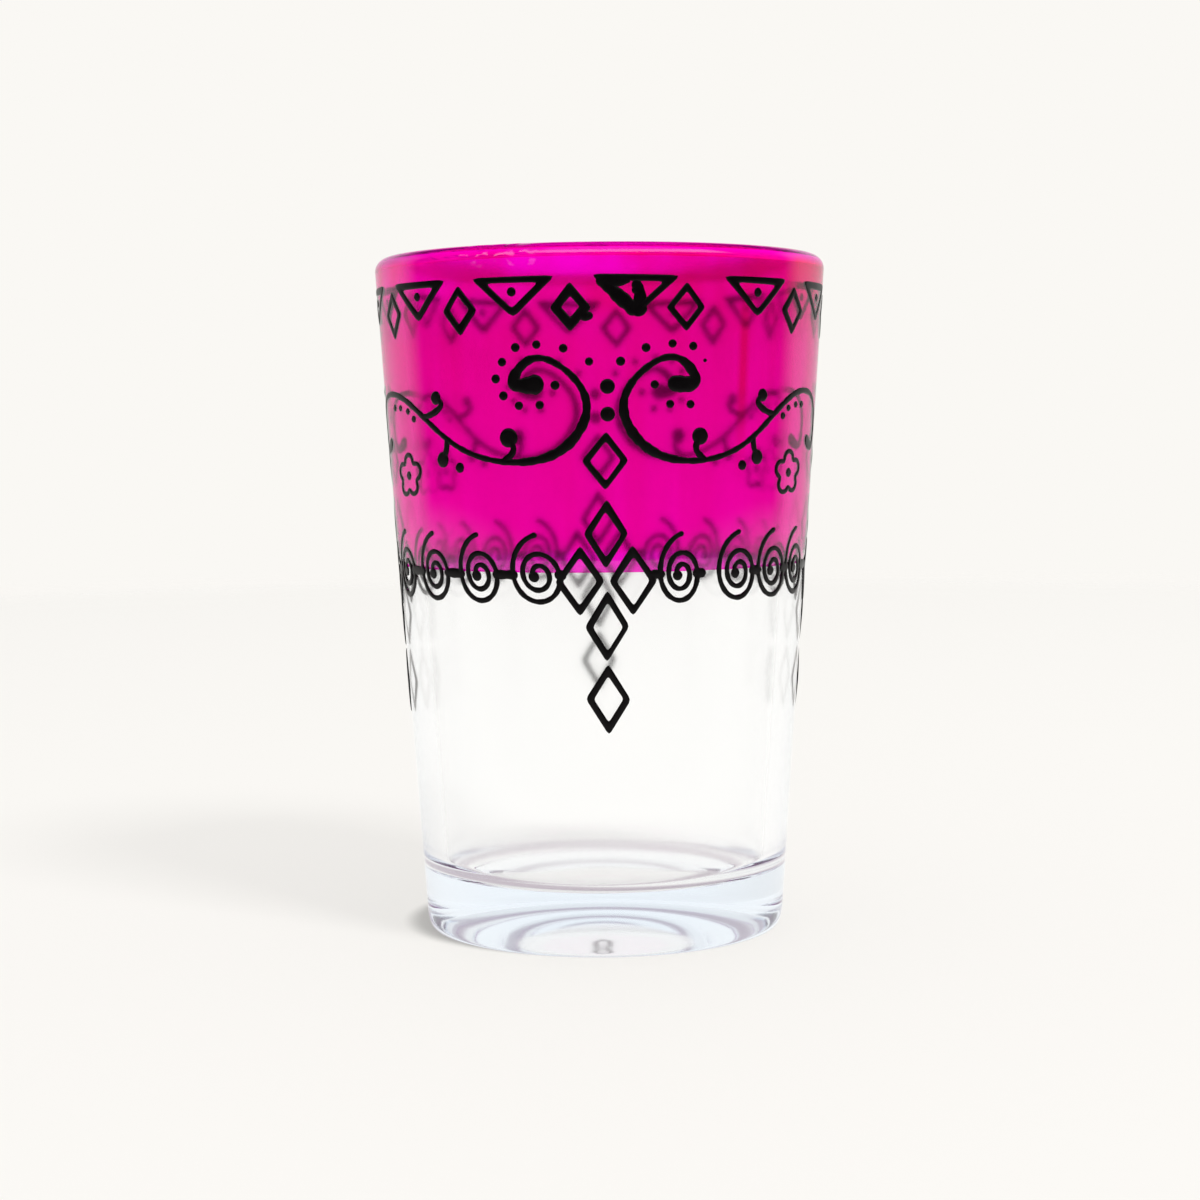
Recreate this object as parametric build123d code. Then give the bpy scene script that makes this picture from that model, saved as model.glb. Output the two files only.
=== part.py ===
# A pressed tea glass with a magenta lacquer band and a black enamel drawing trailed round it.
# Millimetres, +Z up. The origin is on the axis, on the surface that the glass stands on.
# Azimuth 0 faces -Y and grows towards +X.

import os
from math import atan, cos, degrees, pi, radians, sin

from build123d import *

# Tumbler
HEIGHT = 90.0  # table to the top of the lacquered rim
RIM_DIAMETER = 60.2  # outside of the wall cone at full height, bare glass
FOOT_DIAMETER = 48.3  # outside of the wall cone carried down to the table
WALL = 3.2
FLOOR_HEIGHT = 7.8  # table to the inner floor
FLOOR_FILLET = 3.0
FOOT_ROUND = 1.6
FOOT_RING = 5.65  # wall cone at the table to the edge of the hollow under the base
PUNT_DEPTH = 4.4  # hollow under the base
PUNT_ROUND = 1.5

# Lacquer band, sprayed on the outside and over the rim
LACQUER = 0.12
BAND_DEPTH = 40.7  # rim to the lower edge of the band

# Enamel trail
BEAD = 0.2  # height of the trail above the lacquer
LINE = 0.8  # width of a drawn line
CORNER_ROUND = 0.25  # outer corners of a drawn outline
TRAIL_GAP = 0.25  # bare wall between two trails that almost meet

# Border of triangles and diamonds under the rim, with the hand's drift from an even pitch in degrees
BORDER_COUNT = 12
BORDER_DROP = 4.4  # rim to the top of the triangles
TRIANGLE_WIDTH = 10.2
TRIANGLE_DEPTH = 4.6
TRIANGLE_DOT = 1.1
TRIANGLE_DOT_DROP = 1.6  # top of a triangle to the middle of its dot
TRIANGLE_DRIFT = (0.0, 3.2, 3.7, 1.5, 0.0, -1.5, 1.0, 0.0, -1.0, 0.5, 0.3, 0.0)
DIAMOND_WIDTH = 4.9
DIAMOND_HEIGHT = 5.2
DIAMOND_DROP = 8.0  # rim to the middle of the diamonds
DIAMOND_DRIFT = (-0.6, -2.5, 3.0, 2.0, 0.5, -1.0, 1.5, 0.0, -0.5, 1.0, 2.0, 0.0)

# Pendants of diamonds, one on each side: middle of each from the pendant's axis and above the band's edge,
# and height
SIDES = ("front", "right", "back", "left")
PENDANT_WIDTH = 5.3
SIDE_DIAMOND = 3.35  # pendant's axis to the middle of the two diamonds beside it
PENDANT_DIAMONDS = (
    (0.0, 13.85, 7.1),
    (0.0, 4.75, 8.1),
    (-SIDE_DIAMOND, -0.95, 8.1),
    (SIDE_DIAMOND, -0.95, 8.1),
    (0.0, -6.55, 8.2),
    (0.0, -15.95, 8.2),
)
PENDANT_DOT = 1.75
PENDANT_DOT_RISES = (23.0, 19.6)  # above the band's edge

# Spirals on the edge of the band
SPIRAL_COUNT = 4  # between two pendants
SPIRAL_SINK = 0.3  # band's edge down to the middle of a spiral
SPIRAL_LINE = 0.75
SPIRAL_START = 0.6  # radius of the inner end
SPIRAL_PITCH = 1.25  # growth of the radius in one turn
SPIRAL_TURNS = 2.05
SPIRAL_HEAD = 1.3  # diameter of the round inner end
SPIRAL_SAMPLES = 16  # points for each turn
TAIL_TURN = 0.25  # part of a turn that the tail takes
TAIL_FLARE = 1.3  # extra radius at the tip of the tail
LINK_WIDTH = 0.9

# Vine from a front or back pendant to a side pendant: azimuth from the pendant in degrees, drop from the rim
VINE_PATH = (
    (17.5, 17.4),
    (22.7, 17.1),
    (19.4, 14.6),
    (10.8, 15.2),
    (4.5, 20.1),
    (10.0, 25.1),
    (22.6, 26.95),
    (39.1, 25.0),
    (52.6, 20.7),
    (68.3, 18.1),
    (81.5, 21.3),
    (79.9, 25.2),
    (73.5, 24.6),
)
VINE_WIDTHS = (1.4, 0.8, 0.95, 1.15, 0.75, 0.7, 0.75, 0.85, 0.9, 0.8, 0.8, 1.2)
LOW_LEAF_PATH = ((26.0, 26.8), (23.3, 25.2), (24.6, 23.7))
HIGH_LEAF_PATH = ((50.9, 21.2), (46.5, 20.6), (44.0, 19.6), (45.7, 18.8))
BUD_PATH = ((42.7, 24.4), (43.2, 25.5), (44.5, 26.5))
SCROLL_HEAD = 2.2  # diameters of the round ends
END_HEAD = 1.9
LOW_LEAF_HEAD = 2.2
HIGH_LEAF_HEAD = 1.7
BUD_HEAD = 1.9
VINE_STATIONS = 48  # along the vine
LEAF_STATIONS = 8  # along a leaf
VINE_TURN = 43.0  # azimuth from the pendant to the middle of the vine

# Dots round the scroll of the vine, inside its arch, and a single one below it
SCROLL_DOT = 1.0
SCROLL_DOT_PLACES = (
    (3.8, 14.65),
    (10.0, 13.0),
    (16.6, 12.5),
    (22.0, 12.8),
    (25.5, 14.55),
    (27.3, 16.6),
    (25.5, 18.7),
    (21.6, 19.95),
    (16.2, 19.9),
    (12.2, 17.5),
)
MISSED_DOTS = {"front_right": (5, 6)}  # places of the scroll's dots, counted from 0, that the hand left out
ARCH_DOT = 0.9
ARCH_DOT_PLACES = ((55.5, 21.4), (58.3, 20.4), (62.6, 19.95), (66.6, 19.9), (38.9, 27.6))

# Flower under the arch
FLOWER_PLACE = (60.4, 28.7)
FLOWER_PETALS = 5
PETAL_RADIUS = 1.3
PETAL_CENTRE = 1.8  # flower's middle to a petal's middle
FLOWER_LINE = 0.65
FLOWER_DOT = 1.3

# Quadrants: azimuth of the pendant that the vine starts from, the side it runs to, and the hand's stretch
# of everything past the scroll
QUADRANTS = {
    "front_right": (0, 1, -0.07),
    "back_right": (180, -1, 0.03),
    "back_left": (180, 1, -0.03),
    "front_left": (0, -1, 0.07),
}
STRETCH_FROM = 22.6  # azimuth from the pendant

# The wall cone, and what follows from the sizes above
SLOPE = (RIM_DIAMETER - FOOT_DIAMETER) / 2 / HEIGHT
LEAN = atan(SLOPE)
BAND_EDGE = HEIGHT - BAND_DEPTH
RIM_RADIUS = WALL / 2
RIM_CENTRE = HEIGHT - LACQUER - RIM_RADIUS
QUARTER = 360 / len(SIDES)


def wall_radius(height, proud=0.0):
    """Radius of the outer wall cone at a height, or of a layer that stands proud of it."""
    return FOOT_DIAMETER / 2 + SLOPE * height + proud / cos(LEAN)


def rim_point(turn, proud=0.0):
    """Point of the half-round rim, turned from its outer tangent point over the top, for a layer on it."""
    radius = RIM_RADIUS + proud
    angle = radians(turn) - LEAN
    return (wall_radius(RIM_CENTRE, -RIM_RADIUS) + radius * cos(angle), RIM_CENTRE + radius * sin(angle))


def corner(face, point):
    """The corner of a half section that lies at a point."""
    return min(face.vertices(), key=lambda vertex: (vertex.X - point[0]) ** 2 + (vertex.Y - point[1]) ** 2)


def save(node, pieces):
    """One STEP file for a node, holding its separate solids."""
    solids = [solid for piece in pieces for solid in piece.solids()]
    shape = solids[0] if len(solids) == 1 else Compound(children=solids)
    export_step(shape, f"parts/{node}.step")


os.makedirs("parts", exist_ok=True)

# Glass tumbler: a half section turned about the axis
foot = (wall_radius(0), 0)
punt_edge = (wall_radius(0) - FOOT_RING, 0)
floor_edge = (wall_radius(FLOOR_HEIGHT, -WALL), FLOOR_HEIGHT)
section = make_face(
    [
        TangentArc((0, PUNT_DEPTH), punt_edge, tangent=(1, 0)),
        Line(punt_edge, foot),
        Line(foot, rim_point(0)),
        ThreePointArc(rim_point(0), rim_point(90), rim_point(180)),
        Line(rim_point(180), floor_edge),
        Line(floor_edge, (0, FLOOR_HEIGHT)),
        Line((0, FLOOR_HEIGHT), (0, PUNT_DEPTH)),
    ]
)
section = fillet(corner(section, foot), FOOT_ROUND)
section = fillet(corner(section, punt_edge), PUNT_ROUND)
section = fillet(corner(section, floor_edge), FLOOR_FILLET)
save("glass_tumbler", [revolve(Plane.XZ * section, Axis.Z)])

# Lacquer band: a film on the wall from the band's edge up, and over the rim to its inner tangent point
film = make_face(
    [
        Line((wall_radius(BAND_EDGE), BAND_EDGE), rim_point(0)),
        ThreePointArc(rim_point(0), rim_point(90), rim_point(180)),
        Line(rim_point(180), rim_point(180, LACQUER)),
        ThreePointArc(rim_point(180, LACQUER), rim_point(90, LACQUER), rim_point(0, LACQUER)),
        Line(rim_point(0, LACQUER), (wall_radius(BAND_EDGE, LACQUER), BAND_EDGE)),
        Line((wall_radius(BAND_EDGE, LACQUER), BAND_EDGE), (wall_radius(BAND_EDGE), BAND_EDGE)),
    ]
)
save("magenta_lacquer_band", [revolve(Plane.XZ * film, Axis.Z)])

# Enamel layer: the space that a trail fills, on bare glass below the band's edge and on lacquer above it
trail_top = LACQUER + BEAD
layer_section = make_face(
    Polyline(
        (wall_radius(FOOT_ROUND), FOOT_ROUND),
        (wall_radius(BAND_EDGE), BAND_EDGE),
        (wall_radius(BAND_EDGE, LACQUER), BAND_EDGE),
        (wall_radius(RIM_CENTRE, LACQUER), RIM_CENTRE),
        (wall_radius(RIM_CENTRE, trail_top), RIM_CENTRE),
        (wall_radius(FOOT_ROUND, trail_top), FOOT_ROUND),
        close=True,
    )
)
enamel_layer = revolve(Plane.XZ * layer_section, Axis.Z)


def trail(drawing, azimuth=0.0):
    """Enamel that stands on the wall inside a flat drawing, turned to its azimuth."""
    block = extrude(Plane.XZ * drawing, RIM_DIAMETER)
    return Rot(0, 0, azimuth) * (block & enamel_layer)


def round_dot(point, diameter):
    """Flat round dot."""
    return Pos(*point) * Circle(diameter / 2)


def stroke(points, widths, stations):
    """Band with round ends along a smooth path, its width eased between the widths given along it."""
    path = Spline(points)
    left = []
    right = []
    for station in range(stations + 1):
        share = station / stations
        reach = share * (len(widths) - 1)
        low = min(int(reach), len(widths) - 2)
        half = (widths[low] + (widths[low + 1] - widths[low]) * (reach - low)) / 2
        along = path % share
        across = Vector(-along.Y, along.X) * half
        left.append(path @ share + across)
        right.append(path @ share - across)
    start = ThreePointArc(right[0], path @ 0 - (path % 0) * (widths[0] / 2), left[0])
    end = ThreePointArc(left[-1], path @ 1 + (path % 1) * (widths[-1] / 2), right[-1])
    return make_face([Spline(left), end, Spline(right), start])


def outline(corners):
    """Drawn outline of a polygon, its outer corners a little rounded."""
    outer = make_face(Polyline(*corners, close=True))
    inner = offset(outer, -LINE, kind=Kind.INTERSECTION)
    return fillet(outer.vertices(), CORNER_ROUND) - inner


def diamond(across, level, width, height):
    """Drawn outline of a diamond, its middle across from the drawing's axis and at a level."""
    upper = (across, level + height / 2)
    right = (across + width / 2, level)
    lower = (across, level - height / 2)
    left = (across - width / 2, level)
    return outline((upper, right, lower, left))


# Border under the rim: triangles with a dot in each, and a diamond between each two
border_pitch = 360 / BORDER_COUNT
triangle_top = HEIGHT - BORDER_DROP
triangle_corners = (
    (-TRIANGLE_WIDTH / 2, triangle_top),
    (0, triangle_top - TRIANGLE_DEPTH),
    (TRIANGLE_WIDTH / 2, triangle_top),
)
triangle = trail(outline(triangle_corners))
triangle_dot = trail(round_dot((0, triangle_top - TRIANGLE_DOT_DROP), TRIANGLE_DOT))
border_diamond = trail(diamond(0, HEIGHT - DIAMOND_DROP, DIAMOND_WIDTH, DIAMOND_HEIGHT))
triangle_turns = [(i + 0.25) * border_pitch + drift for i, drift in enumerate(TRIANGLE_DRIFT)]
diamond_turns = [(i - 0.25) * border_pitch + drift for i, drift in enumerate(DIAMOND_DRIFT)]
save("border_triangles", [Rot(0, 0, turn) * triangle for turn in triangle_turns])
save("border_triangle_dots", [Rot(0, 0, turn) * triangle_dot for turn in triangle_turns])
save("border_diamonds", [Rot(0, 0, turn) * border_diamond for turn in diamond_turns])

# Pendants: a string of diamonds with two round dots above it, on four sides
string = [
    trail(diamond(across, BAND_EDGE + rise, PENDANT_WIDTH, height)) for across, rise, height in PENDANT_DIAMONDS
]
pearls = [trail(round_dot((0, BAND_EDGE + rise), PENDANT_DOT)) for rise in PENDANT_DOT_RISES]
for quarter, side_name in enumerate(SIDES):
    turned = Rot(0, 0, quarter * QUARTER)
    save(f"{side_name}_pendant_diamonds", [turned * piece for piece in string])
    save(f"{side_name}_pendant_dots", [turned * piece for piece in pearls])

# Spiral chains: spirals spaced evenly between the side diamonds of two pendants, with a short bar each way
chain_level = BAND_EDGE - SPIRAL_SINK
chain_radius = wall_radius(chain_level, LACQUER)
chain_start = SIDE_DIAMOND + PENDANT_WIDTH / 2 + TRAIL_GAP / 2
chain_pitch = (chain_radius * radians(QUARTER) - 2 * chain_start) / SPIRAL_COUNT
bar_end = (chain_pitch - TRAIL_GAP) / 2


def spiral_radius(turns):
    """Radius of the spiral's line after some turns; the tail flares out past the last of them."""
    flare = max(0.0, (turns - SPIRAL_TURNS) / TAIL_TURN)
    return SPIRAL_START + SPIRAL_PITCH * turns + TAIL_FLARE * flare**2


def spiral_point(turns):
    """Point of the spiral's line, wound clockwise and outwards so that the tail starts on the left."""
    angle = pi - 2 * pi * (turns - SPIRAL_TURNS)
    return (spiral_radius(turns) * cos(angle), chain_level + spiral_radius(turns) * sin(angle))


def bar(start, end):
    """Short bar along the middle of the chain."""
    return Pos((start + end) / 2, chain_level) * Rectangle(end - start, LINK_WIDTH)


line_turns = SPIRAL_TURNS + TAIL_TURN
samples = round(SPIRAL_SAMPLES * line_turns)
spiral_line = [spiral_point(line_turns * i / samples) for i in range(samples + 1)]
spiral = stroke(spiral_line, (SPIRAL_LINE, SPIRAL_LINE), samples) + round_dot(spiral_line[0], SPIRAL_HEAD)
spiral += bar(-bar_end, -spiral_radius(SPIRAL_TURNS))
spiral += bar(spiral_radius(SPIRAL_TURNS - 0.5), bar_end)
one_spiral = trail(spiral)
spiral_turns = [degrees((chain_start + chain_pitch * (i + 0.5)) / chain_radius) for i in range(SPIRAL_COUNT)]
for quarter, quadrant in enumerate(QUADRANTS):
    turns = [quarter * QUARTER + turn for turn in spiral_turns]
    save(f"{quadrant}_spiral_chain", [Rot(0, 0, turn) * one_spiral for turn in turns])

# Flower, drawn on the axis: one scalloped line round all its petals, and a dot in its open heart
flower_middle = (0, HEIGHT - FLOWER_PLACE[1])
petal_spots = PolarLocations(PETAL_CENTRE, FLOWER_PETALS, start_angle=90)
petals = Sketch() + [spot * Circle(PETAL_RADIUS) for spot in petal_spots] + Circle(PETAL_CENTRE)
scallops = petals - offset(petals, -FLOWER_LINE)
flower = [trail(Pos(*flower_middle) * scallops), trail(round_dot(flower_middle, FLOWER_DOT))]

# Dots of a vine, drawn on the axis
dot_places = SCROLL_DOT_PLACES + ARCH_DOT_PLACES
dot_sizes = (SCROLL_DOT,) * len(SCROLL_DOT_PLACES) + (ARCH_DOT,) * len(ARCH_DOT_PLACES)
dots = [trail(round_dot((0, HEIGHT - drop), size)) for (turn, drop), size in zip(dot_places, dot_sizes)]

# Vines with their dots and flowers, one for each quadrant
for quadrant, (axis, side, stretch) in QUADRANTS.items():

    def stretched(turn):
        """Azimuth from the pendant after the hand's stretch."""
        return side * (turn + stretch * max(0.0, turn - STRETCH_FROM))

    def drawn(path):
        """Path on the drawing plane that stands at the middle of the vine."""
        turns = [radians(stretched(turn) - side * VINE_TURN) for turn, drop in path]
        levels = [HEIGHT - drop for turn, drop in path]
        return [(wall_radius(level, LACQUER) * sin(turn), level) for turn, level in zip(turns, levels)]

    def leaf(path, head):
        """Short stroke that ends in a round head."""
        points = drawn(path)
        return stroke(points, (LINE, LINE), LEAF_STATIONS) + round_dot(points[-1], head)

    line = drawn(VINE_PATH)
    vine = stroke(line, VINE_WIDTHS, VINE_STATIONS)
    vine += round_dot(line[0], SCROLL_HEAD)
    vine += round_dot(line[-1], END_HEAD)
    vine += leaf(LOW_LEAF_PATH, LOW_LEAF_HEAD)
    vine += leaf(HIGH_LEAF_PATH, HIGH_LEAF_HEAD)
    vine += leaf(BUD_PATH, BUD_HEAD)
    save(f"{quadrant}_vine", [trail(vine, axis + side * VINE_TURN)])
    kept = [i for i in range(len(dots)) if i not in MISSED_DOTS.get(quadrant, ())]
    save(f"{quadrant}_vine_dots", [Rot(0, 0, axis + stretched(dot_places[i][0])) * dots[i] for i in kept])
    flower_turn = Rot(0, 0, axis + stretched(FLOWER_PLACE[0]))
    save(f"{quadrant}_flower", [flower_turn * piece for piece in flower])
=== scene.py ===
import math

import bmesh
import bpy
import numpy as np
from mathutils import Euler, Matrix, Vector


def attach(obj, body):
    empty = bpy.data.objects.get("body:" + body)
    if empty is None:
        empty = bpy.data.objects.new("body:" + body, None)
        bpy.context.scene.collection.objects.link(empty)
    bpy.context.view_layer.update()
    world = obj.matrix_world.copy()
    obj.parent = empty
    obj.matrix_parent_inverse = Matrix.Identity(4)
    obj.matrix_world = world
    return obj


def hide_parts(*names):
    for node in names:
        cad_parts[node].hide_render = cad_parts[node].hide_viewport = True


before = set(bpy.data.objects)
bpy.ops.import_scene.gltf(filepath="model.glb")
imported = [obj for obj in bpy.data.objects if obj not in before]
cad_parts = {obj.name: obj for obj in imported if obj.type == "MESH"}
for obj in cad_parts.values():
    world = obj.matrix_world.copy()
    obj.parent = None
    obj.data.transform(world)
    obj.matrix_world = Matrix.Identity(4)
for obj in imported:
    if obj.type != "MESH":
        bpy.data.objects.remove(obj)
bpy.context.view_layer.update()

# Tumbler
# One body of clear soda-lime glass, pressed in a mould and fire-polished: a tapered wall with a round rim,
# a flat floor inside and a hollow under the base. Millimetres.
HEIGHT = 90.0
LACQUER = 0.12
RIM_RADIUS = 30.1
FOOT_RADIUS = 24.15
WALL = 3.2
FLOOR_HEIGHT = 7.8
FLOOR_FILLET = 3.0
FOOT_ROUND = 3.0
FOOT_TUCK = 0.85
FOOT_RING = 5.65
PUNT_DEPTH = 4.75
PUNT_ROUND = 1.5
SEGMENTS = 320
SLOPE = (RIM_RADIUS - FOOT_RADIUS) / HEIGHT
LEAN = math.atan(SLOPE)
RIM_CENTRE = HEIGHT - LACQUER - WALL / 2


def wall_radius(level, proud=0.0):
    """Radius of the outer wall at a level: the foot's radius plus the slope times the level, and what stands
    proud of the wall."""
    return FOOT_RADIUS + SLOPE * level + proud / math.cos(LEAN)


def arc(centre, radius, start, end, count):
    """Points of an arc in a half section, from one angle in degrees to another: its centre plus its radius,
    or its half width and half height, times the angle's cosine and sine."""
    turn = np.radians(np.linspace(start, end, count))
    return np.asarray(centre) + np.asarray(radius) * np.stack([np.cos(turn), np.sin(turn)], -1)


def run(start, end, count):
    """Evenly spaced points of a straight run in a half section, without its two ends."""
    share = np.linspace(0, 1, count + 2)[1:-1, None]
    return np.asarray(start) * (1 - share) + np.asarray(end) * share


def turned(section, closed=False):
    """Surface of revolution: each point of the half section goes round the axis, x = r sin a, y = -r cos a.
    An open section starts and ends on the axis, where its fans of triangles meet; a closed one is a ring."""
    body = section if closed else section[1:-1]
    turn = np.linspace(0, 2 * np.pi, SEGMENTS, endpoint=False)
    radius = body[:, :1]
    level = np.repeat(body[:, 1:], SEGMENTS, 1)
    points = np.stack([radius * np.sin(turn), -radius * np.cos(turn), level], -1).reshape(-1, 3)
    rows = np.arange(len(body) if closed else len(body) - 1)[:, None] * SEGMENTS
    near = np.arange(SEGMENTS)[None, :]
    far = (near + 1) % SEGMENTS
    above = (rows + SEGMENTS) % len(points)
    faces = np.stack([rows + near, rows + far, above + far, above + near], -1).reshape(-1, 4).tolist()
    if not closed:
        low = len(points)
        last = (len(body) - 1) * SEGMENTS
        points = np.vstack([points, [0, 0, section[0, 1]], [0, 0, section[-1, 1]]])
        fan = np.stack([near[0], far[0]], -1)
        faces += np.insert(fan, 2, low, 1).tolist() + np.insert(fan + last, 2, low + 1, 1).tolist()
    return points, faces


def make_piece(name, points, faces, slot, *materials):
    """Smooth closed mesh from points in millimetres, faces turned outwards, riding on the glass."""
    mesh = bpy.data.meshes.new(name)
    mesh.from_pydata((np.asarray(points) * 0.001).tolist(), [], faces)
    work = bmesh.new()
    work.from_mesh(mesh)
    bmesh.ops.recalc_face_normals(work, faces=work.faces)
    work.to_mesh(mesh)
    work.free()
    mesh.polygons.foreach_set("use_smooth", np.ones(len(mesh.polygons), bool))
    mesh.update()
    for material in materials:
        mesh.materials.append(material)
    piece = bpy.data.objects.new(name, mesh)
    bpy.context.scene.collection.objects.link(piece)
    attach(piece, "root")
    return piece


def linear(code):
    """Linear colour of an sRGB hex value."""
    share = np.array([int(code[i : i + 2], 16) / 255 for i in (1, 3, 5)])
    low = share / 12.92
    high = ((share + 0.055) / 1.055) ** 2.4
    return (*np.where(share <= 0.04045, low, high), 1.0)


def new_material(name):
    """Material with its tree of nodes and the shader at its end."""
    material = bpy.data.materials.new(name)
    material.use_nodes = True
    return material, material.node_tree, material.node_tree.nodes["Principled BSDF"]


def add_node(tree, kind, settings={}, values={}, links={}):
    """Node of a kind with its settings, the values on its sockets, and links from other nodes' sockets."""
    node = tree.nodes.new(kind)
    for name, value in settings.items():
        setattr(node, name, value)
    for name, value in values.items():
        node.inputs[name].default_value = value
    for name, socket in links.items():
        tree.links.new(socket, node.inputs[name])
    return node


punt_sphere = ((wall_radius(0) - FOOT_RING) ** 2 + PUNT_DEPTH**2) / 2 / PUNT_DEPTH
punt_middle = PUNT_DEPTH - punt_sphere
ease_radius = math.sqrt((punt_sphere + PUNT_ROUND) ** 2 - (PUNT_ROUND - punt_middle) ** 2)
punt_end = math.degrees(math.atan2(PUNT_ROUND - punt_middle, ease_radius))
lean = math.degrees(LEAN)
# The foot turns in along a quarter of an ellipse, which leaves the wall where its slope is the wall's
foot_end = math.atan(SLOPE * FOOT_ROUND / FOOT_TUCK)
foot_top = FOOT_ROUND * (1 - math.sin(foot_end))
foot_middle = (wall_radius(foot_top) - FOOT_TUCK * math.cos(foot_end), FOOT_ROUND)
rim_middle = (wall_radius(RIM_CENTRE, -WALL / 2), RIM_CENTRE)
fillet_level = FLOOR_HEIGHT + FLOOR_FILLET
fillet_middle = (wall_radius(fillet_level, -WALL - FLOOR_FILLET), fillet_level)
punt = arc((0, punt_middle), punt_sphere, 90, punt_end, 60)
punt[0, 0] = 0
ease = arc((ease_radius, PUNT_ROUND), PUNT_ROUND, punt_end - 180, -90, 8)
foot = arc(foot_middle, (FOOT_TUCK, FOOT_ROUND), -90, -math.degrees(foot_end), 24)
rim = arc(rim_middle, WALL / 2, -lean, 180 - lean, 28)
fillet = arc(fillet_middle, FLOOR_FILLET, -lean, -90, 20)
floor_end = np.array([[0, FLOOR_HEIGHT]])
glass_section = np.vstack(
    [
        punt,
        ease[1:],
        run(ease[-1], foot[0], 3),
        foot,
        run(foot[-1], rim[0], 40),
        rim,
        run(rim[-1], fillet[0], 40),
        fillet,
        run(fillet[-1], floor_end[0], 16),
        floor_end,
    ]
)

# Pressed soda-lime glass: clear, with the slow waves that a mould leaves and a faint blue in its depth. The
# outside is fire-polished; the plunger's side of the wall and the underside of the base stay a little soft to
# look through.
GLASS_COLOUR = linear("#FEFEFE")
GLASS_TINT = linear("#00B9FF")
PLUNGER_ROUGHNESS = 0.13
UNDERSIDE_ROUGHNESS = 0.08
glass, tree, shader = new_material("pressed_soda_lime_glass")
shader.inputs["Base Color"].default_value = GLASS_COLOUR
shader.inputs["Transmission Weight"].default_value = 1.0
shader.inputs["IOR"].default_value = 1.5
polish = add_node(tree, "ShaderNodeAttribute", {"attribute_name": "roughness"})
tree.links.new(polish.outputs["Fac"], shader.inputs["Roughness"])
place = add_node(tree, "ShaderNodeTexCoord")
# Waves about 14 mm long, 71 to the metre
links = {"Vector": place.outputs["Object"]}
waves = add_node(tree, "ShaderNodeTexNoise", values={"Scale": 71.0, "Detail": 1.0}, links=links)
values = {"Strength": 0.03, "Distance": 0.0002}
bump = add_node(tree, "ShaderNodeBump", values=values, links={"Height": waves.outputs["Fac"]})
tree.links.new(bump.outputs["Normal"], shader.inputs["Normal"])
# Four centimetres of it take a seventh of the red and half as much of the green
depth = add_node(tree, "ShaderNodeVolumeAbsorption", values={"Color": GLASS_TINT, "Density": 4.0})
tree.links.new(depth.outputs["Volume"], tree.nodes["Material Output"].inputs["Volume"])

tumbler = make_piece("tumbler", *turned(glass_section), "clear_glass", glass)
middles = np.empty((len(tumbler.data.polygons), 3))
tumbler.data.polygons.foreach_get("center", middles.ravel())
middles *= 1000
reach = np.hypot(middles[:, 0], middles[:, 1])
level = middles[:, 2]
plunger_side = (reach < wall_radius(level, -WALL / 2)) & (level > fillet_level) & (level < RIM_CENTRE)
underside = (reach < ease_radius) & (level < PUNT_DEPTH + 0.1)
polish = tumbler.data.attributes.new("roughness", "FLOAT", "FACE")
polish.data.foreach_set("value", plunger_side * PLUNGER_ROUGHNESS + underside * UNDERSIDE_ROUGHNESS)
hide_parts("glass_tumbler")

# Lacquer band
# A translucent magenta lacquer, sprayed on the outside of the wall down to a masked edge and over the rim.
# Its back is bedded a hair's breadth in the glass, because a coat has no air behind it.
BAND_EDGE = 49.3
BEDDING = 0.05
edge_out = [wall_radius(BAND_EDGE, LACQUER), BAND_EDGE]
edge_in = [wall_radius(BAND_EDGE, -BEDDING), BAND_EDGE]
rim_out = arc(rim_middle, WALL / 2 + LACQUER, -lean, 180 - lean, 28)
rim_in = arc(rim_middle, WALL / 2 - BEDDING, 180 - lean, -lean, 28)
face_side = np.vstack([[edge_out], run(edge_out, rim_out[0], 24), rim_out])
back_side = np.vstack([rim_in, run(rim_in[-1], edge_in, 24), [edge_in]])

# Sprayed lacquer: a clear coloured film with a wet gloss on its face. It ran down in faint streaks and
# gathered in patches round the rim, deeper towards the right.
# The film itself bends no light, because the glass under it does, so its own IOR is 1.
LACQUER_COLOUR = linear("#FD00BA")
LACQUER_DEEP = linear("#E60083")
RIM_THIN = linear("#FF00BA")
RIM_DEEP = linear("#E9006A")
# Lighter pink painted where the highlight line falls on the crest of the rim
PAINTED_HIGHLIGHT_PINK = linear("#FF00CC")
BEDDED_COLOUR = linear("#FFE6FB")
BEDDED_DEEP = linear("#FFDEF9")
RUN_DEEP = linear("#D70051")
RUN_AZIMUTH = math.radians(36.7)
SAGS_MIDDLE = (-0.0128, -0.0271, 0.0885)
# Rows of faces, about the first 40 degrees of the round of the rim, where the film scatters light as a
# painted highlight line
HIGHLIGHT_ROWS = 6


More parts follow.
